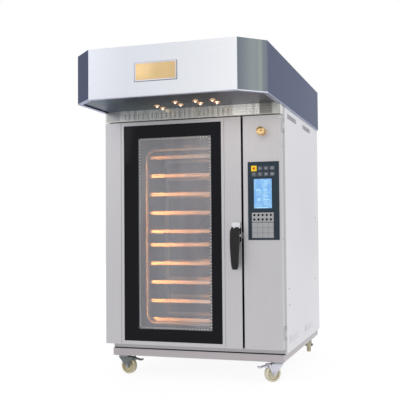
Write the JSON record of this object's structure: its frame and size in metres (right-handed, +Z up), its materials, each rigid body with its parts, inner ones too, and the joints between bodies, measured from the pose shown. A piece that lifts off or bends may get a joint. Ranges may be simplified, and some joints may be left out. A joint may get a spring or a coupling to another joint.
{
  "type": "rotating rack oven",
  "caption": "Upright baking oven on casters: glazed hinged door, control door, turning tray rack hung from a geared shaft, ring-heated fan plenum and a steam hood reaching over the doors",
  "frame": {"origin": "on the floor, under the centre of the whole oven's box", "axes": "X to the right seen from the front, Y to the back, Z up; the doors face -Y"},
  "size_m": [1.126, 1.798, 1.963],
  "materials": {
    "front_steel": "satin stainless sheet with a fine grain",
    "side_steel": "pale satin stainless sheet",
    "hood_steel": "satin stainless sheet, slightly blue in the light",
    "band_steel": "polished stainless strip",
    "base_steel": "satin stainless tube",
    "chamber_steel": "dull stainless sheet inside the oven",
    "rack_steel": "satin stainless tube and angle, warm in the lamps' light",
    "machined_steel": "turned steel",
    "zinc_steel": "dull zinc plate",
    "fork_dark": "dark grey pressed steel",
    "fork_pale": "pale zinc-plated pressed steel",
    "chrome": "polished chrome",
    "door_glass": "dark tinted pane with a black border",
    "clear_glass": "clear heat-proof pane",
    "lamp_glass": "frosted lamp cover",
    "spot_lamp": "bright lens in a thin ring",
    "black_grip": "black moulded grip with a soft sheen",
    "panel_blue": "dark slate-blue panel",
    "display": "lit pale blue display behind a clear window",
    "keys": "grey membrane keys",
    "button_gold": "amber square button",
    "brass": "polished brass",
    "seal": "black silicone",
    "mineral_wool": "pressed mineral wool",
    "motor_grey": "grey painted castings",
    "nylon": "cream nylon",
    "device_grey": "pale grey switchgear",
    "heater": "dark oxidised heater sheath"
  },
  "bodies": {
    "cabinet": {"base_frame": "base_steel", "floor_pan": "zinc_steel", "left_panel": "side_steel", "right_panel": "side_steel", "rear_panel": "side_steel", "roof_panel": "zinc_steel", "front_portal": "front_steel", "chamber_left_wall": "chamber_steel", "duct_wall": "chamber_steel", "back_baffle": "chamber_steel", "ceiling_plate": "chamber_steel", "chamber_floor": "chamber_steel", "rear_wall": "chamber_steel", "insulation": "mineral_wool", "fascia_band": "band_steel", "door_gasket": "seal", "hinge_brackets": "machined_steel", "latch_strikes": "machined_steel", "oven_lamps": "lamp_glass", "heater_rings": "heater", "fan_motor": "motor_grey", "gear_motor": "motor_grey", "shaft_bearing": "machined_steel", "pivot_socket": "machined_steel", "electrics": "device_grey", "hood_shell": "hood_steel", "hood_soffit": "hood_steel", "hood_lamps": "spot_lamp", "flue_spigot": "hood_steel", "caster_plates": "zinc_steel"},
    "oven_door": {"door_frame": "front_steel", "outer_glass": "door_glass", "inner_glass": "clear_glass", "inner_door_panel": "front_steel", "door_hinge_leaves": "machined_steel", "latch_base": "chrome"},
    "grip": {"handle_grip": "black_grip"},
    "bolt": {"latch_bolt": "machined_steel"},
    "side_door": {"control_door": "front_steel", "controller_plate": "panel_blue", "display_window": "display", "keypad": "keys"},
    "button": {"start_button": "button_gold"},
    "knob": {"door_knob": "brass"},
    "tongue": {"knob_tongue": "machined_steel"},
    "rack": {"drive_shaft": "machined_steel", "rack_hanger": "rack_steel", "rack_frame": "rack_steel", "rack_runners": "rack_steel"},
    "fan": {"fan_wheel": "chamber_steel"},
    "swivel_fl": {"fork_fl": "fork_dark"},
    "roller_fl": {"wheel_fl": "nylon"},
    "pedal_fl": {"brake_pedal_fl": "fork_dark"},
    "swivel_fr": {"fork_fr": "fork_pale"},
    "roller_fr": {"wheel_fr": "nylon"},
    "pedal_fr": {"brake_pedal_fr": "fork_dark"},
    "swivel_rl": {"fork_rl": "fork_dark"},
    "roller_rl": {"wheel_rl": "nylon"},
    "swivel_rr": {"fork_rr": "fork_dark"},
    "roller_rr": {"wheel_rr": "nylon"}
  },
  "joints": [
    {"name": "oven_door_hinge", "type": "hinge", "parent": "cabinet", "child": "oven_door", "pos_m": [-0.557, -0.3425, 0.8815], "axis": [0, 0, -1], "range_deg": [0, 165]},
    {"name": "handle_pivot", "type": "hinge", "parent": "oven_door", "child": "grip", "pos_m": [0.288, -0.455, 0.862], "axis": [-1, 0, 0], "range_deg": [0, 35], "stiffness_Nm_per_rad": 2},
    {"name": "bolt_slide", "type": "slide", "parent": "oven_door", "child": "bolt", "axis": [-1, 0, 0], "range_m": [0, 0.009]},
    {"name": "side_door_hinge", "type": "hinge", "parent": "cabinet", "child": "side_door", "pos_m": [0.557, -0.3425, 0.8815], "axis": [0, 0, 1], "range_deg": [0, 120]},
    {"name": "button_press", "type": "slide", "parent": "side_door", "child": "button", "axis": [0, 1, 0], "range_m": [0, 0.0025], "stiffness_N_per_m": 600},
    {"name": "knob_turn", "type": "hinge", "parent": "side_door", "child": "knob", "pos_m": [0.44398, -0.411, 1.466], "axis": [0, 1, 0], "range_deg": [0, 90]},
    {"name": "tongue_slide", "type": "slide", "parent": "side_door", "child": "tongue", "axis": [1, 0, 0], "range_m": [0, 0.009]},
    {"name": "rack_turn", "type": "hinge", "parent": "cabinet", "child": "rack", "pos_m": [-0.118, 0.099, 0.9], "axis": [0, 0, 1], "continuous": true},
    {"name": "fan_spin", "type": "hinge", "parent": "cabinet", "child": "fan", "pos_m": [-0.118, 0.564, 0.8725], "axis": [0, 1, 0], "continuous": true},
    {"name": "swivel_turn_fl", "type": "hinge", "parent": "cabinet", "child": "swivel_fl", "pos_m": [-0.487, -0.275, 0.108], "axis": [0, 0, 1], "continuous": true},
    {"name": "wheel_spin_fl", "type": "hinge", "parent": "swivel_fl", "child": "roller_fl", "pos_m": [-0.45729, -0.27918, 0.05], "axis": [0.1392, 0.9903, 0], "continuous": true},
    {"name": "brake_lift_fl", "type": "hinge", "parent": "swivel_fl", "child": "pedal_fl", "pos_m": [-0.42758, -0.28335, 0.101], "axis": [-0.1392, -0.9903, 0], "range_deg": [0, 16]},
    {"name": "swivel_turn_fr", "type": "hinge", "parent": "cabinet", "child": "swivel_fr", "pos_m": [0.487, -0.275, 0.108], "axis": [0, 0, 1], "continuous": true},
    {"name": "wheel_spin_fr", "type": "hinge", "parent": "swivel_fr", "child": "roller_fr", "pos_m": [0.46506, -0.29546, 0.05], "axis": [0.682, -0.7314, 0], "continuous": true},
    {"name": "brake_lift_fr", "type": "hinge", "parent": "swivel_fr", "child": "pedal_fr", "pos_m": [0.44312, -0.31592, 0.101], "axis": [-0.682, 0.7314, 0], "range_deg": [0, 16]},
    {"name": "swivel_turn_rl", "type": "hinge", "parent": "cabinet", "child": "swivel_rl", "pos_m": [-0.487, 0.816, 0.108], "axis": [0, 0, 1], "continuous": true},
    {"name": "wheel_spin_rl", "type": "hinge", "parent": "swivel_rl", "child": "roller_rl", "pos_m": [-0.47432, 0.84319, 0.05], "axis": [-0.9063, 0.4226, 0], "continuous": true},
    {"name": "swivel_turn_rr", "type": "hinge", "parent": "cabinet", "child": "swivel_rr", "pos_m": [0.487, 0.816, 0.108], "axis": [0, 0, 1], "continuous": true},
    {"name": "wheel_spin_rr", "type": "hinge", "parent": "swivel_rr", "child": "roller_rr", "pos_m": [0.48179, 0.84554, 0.05], "axis": [-0.9848, -0.1736, 0], "continuous": true}
  ],
  "couplings": [
    {"joint": "bolt_slide", "follows": "handle_pivot", "m_per_rad": 0.014733},
    {"joint": "tongue_slide", "follows": "knob_turn", "m_per_rad": 0.00573}
  ]
}
